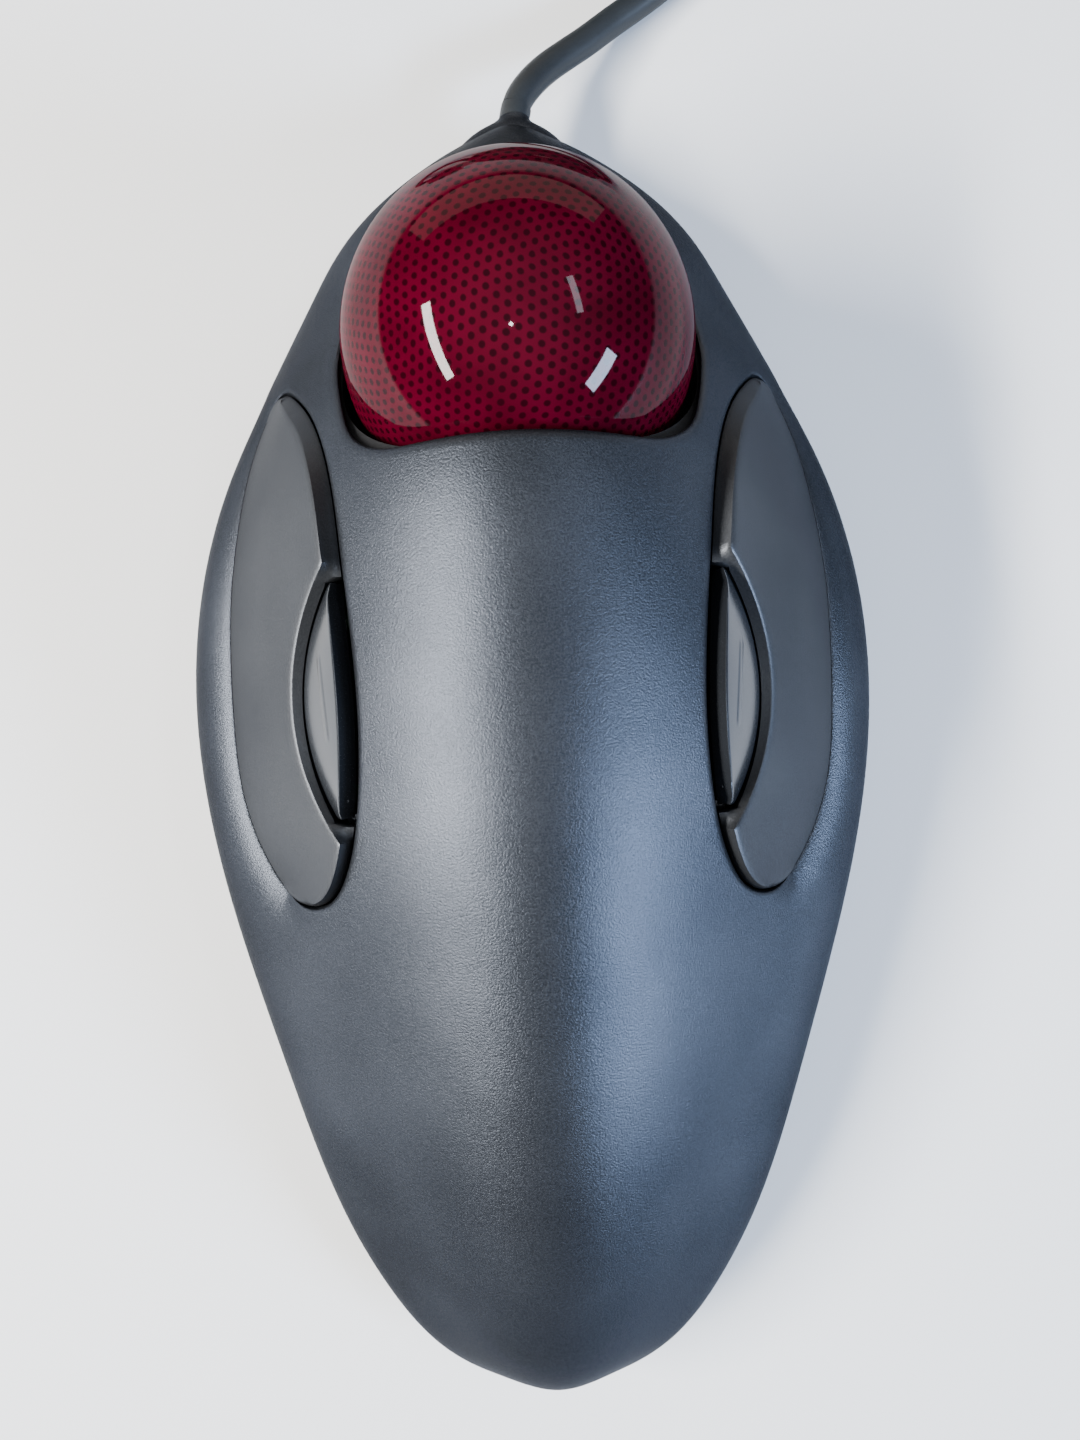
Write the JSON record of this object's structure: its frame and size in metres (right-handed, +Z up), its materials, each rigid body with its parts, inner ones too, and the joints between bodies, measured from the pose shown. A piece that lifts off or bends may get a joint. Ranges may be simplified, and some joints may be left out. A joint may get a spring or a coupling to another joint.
{
  "type": "trackball mouse",
  "caption": "Ambidextrous trackball mouse with a domed casing, a large ball at the front, paired side buttons and a coiled cable.",
  "frame": {"origin": "on the desk, under the middle of the casing, cable left out", "axes": "+X to the user's right, +Y towards the nose where the ball and the cable are, +Z up"},
  "size_m": [0.0895, 0.2559, 0.0465],
  "materials": {
    "casing_satin": "satin, fine metallic grain",
    "base_black": "matt, lightly textured",
    "button_satin": "satin, fine metallic grain",
    "small_button_gloss": "semi-gloss metallic",
    "ball_red": "polished, clear over dark dots",
    "cup_black": "matt",
    "bearing_ceramic": "polished",
    "window_tinted": "clear, tinted",
    "board_green": "solder mask",
    "chip_black": "matt",
    "switch_plastic": "matt",
    "steel": "satin",
    "contact_metal": "plated",
    "foot_rubber": "matt",
    "cord_jacket": "matt, smooth",
    "label_foil": "satin, blank"
  },
  "bodies": {
    "casing": {"ball_cup": "cup_black", "base_shell": "base_black", "board_screw_1": "steel", "board_screw_2": "steel", "cable_coil": "cord_jacket", "cable_header": "switch_plastic", "cable_tail": "cord_jacket", "capacitor": "chip_black", "case_screw_front_left": "steel", "case_screw_front_right": "steel", "case_screw_rear_left": "steel", "case_screw_rear_right": "steel", "crystal": "steel", "cup_screw_left": "steel", "cup_screw_right": "steel", "foot_front_left": "foot_rubber", "foot_front_right": "foot_rubber", "foot_rear_left": "foot_rubber", "foot_rear_right": "foot_rubber", "image_sensor": "chip_black", "left_main_switch": "switch_plastic", "left_small_switch": "switch_plastic", "main_board": "board_green", "plug_boot": "cord_jacket", "plug_contacts": "contact_metal", "plug_shell": "steel", "plug_tongue": "chip_black", "rating_label_blank": "label_foil", "right_main_switch": "switch_plastic", "right_small_switch": "switch_plastic", "sensor_board": "board_green", "sensor_flex": "contact_metal", "sensor_lamp": "window_tinted", "sensor_window": "window_tinted", "strain_relief": "cord_jacket", "support_bearing_1": "bearing_ceramic", "support_bearing_2": "bearing_ceramic", "support_bearing_3": "bearing_ceramic", "top_shell": "casing_satin", "usb_cable": "cord_jacket", "usb_controller": "chip_black"},
    "ball": {"trackball": "ball_red"},
    "left_main_key": {"left_main_button": "button_satin"},
    "left_main_switch_pin": {"left_main_plunger": "switch_plastic"},
    "left_small_key": {"left_small_button": "small_button_gloss"},
    "left_small_switch_pin": {"left_small_plunger": "switch_plastic"},
    "right_main_key": {"right_main_button": "button_satin"},
    "right_main_switch_pin": {"right_main_plunger": "switch_plastic"},
    "right_small_key": {"right_small_button": "small_button_gloss"},
    "right_small_switch_pin": {"right_small_plunger": "switch_plastic"}
  },
  "joints": [
    {"name": "ball_roll", "type": "hinge", "parent": "casing", "child": "ball", "pos_m": [0, 0.0476, 0.0265], "axis": [1, 0, 0], "continuous": true},
    {"name": "left_main_press", "type": "hinge", "parent": "casing", "child": "left_main_key", "pos_m": [-0.0255, -0.02, 0.0155], "axis": [-1, 0, 0], "range_deg": [0, 1], "stiffness_Nm_per_rad": 1.4, "springref_deg": -0.57},
    {"name": "left_main_switch_travel", "type": "slide", "parent": "casing", "child": "left_main_switch_pin", "axis": [0, 0, -1], "range_m": [0, 0.0006]},
    {"name": "left_small_press", "type": "hinge", "parent": "casing", "child": "left_small_key", "pos_m": [-0.021, -0.012, 0.025], "axis": [-1, 0, 0], "range_deg": [0, 2], "stiffness_Nm_per_rad": 0.4, "springref_deg": -0.57},
    {"name": "left_small_switch_travel", "type": "slide", "parent": "casing", "child": "left_small_switch_pin", "axis": [0, 0, -1], "range_m": [0, 0.0006]},
    {"name": "right_main_press", "type": "hinge", "parent": "casing", "child": "right_main_key", "pos_m": [0.0255, -0.02, 0.0155], "axis": [-1, 0, 0], "range_deg": [0, 1], "stiffness_Nm_per_rad": 1.4, "springref_deg": -0.57},
    {"name": "right_main_switch_travel", "type": "slide", "parent": "casing", "child": "right_main_switch_pin", "axis": [0, 0, -1], "range_m": [0, 0.0006]},
    {"name": "right_small_press", "type": "hinge", "parent": "casing", "child": "right_small_key", "pos_m": [0.021, -0.012, 0.025], "axis": [-1, 0, 0], "range_deg": [0, 2], "stiffness_Nm_per_rad": 0.4, "springref_deg": -0.57},
    {"name": "right_small_switch_travel", "type": "slide", "parent": "casing", "child": "right_small_switch_pin", "axis": [0, 0, -1], "range_m": [0, 0.0006]}
  ],
  "couplings": [
    {"joint": "left_main_switch_travel", "follows": "left_main_press", "m_per_rad": 0.034},
    {"joint": "left_small_switch_travel", "follows": "left_small_press", "m_per_rad": 0.016},
    {"joint": "right_main_switch_travel", "follows": "right_main_press", "m_per_rad": 0.034},
    {"joint": "right_small_switch_travel", "follows": "right_small_press", "m_per_rad": 0.016}
  ]
}
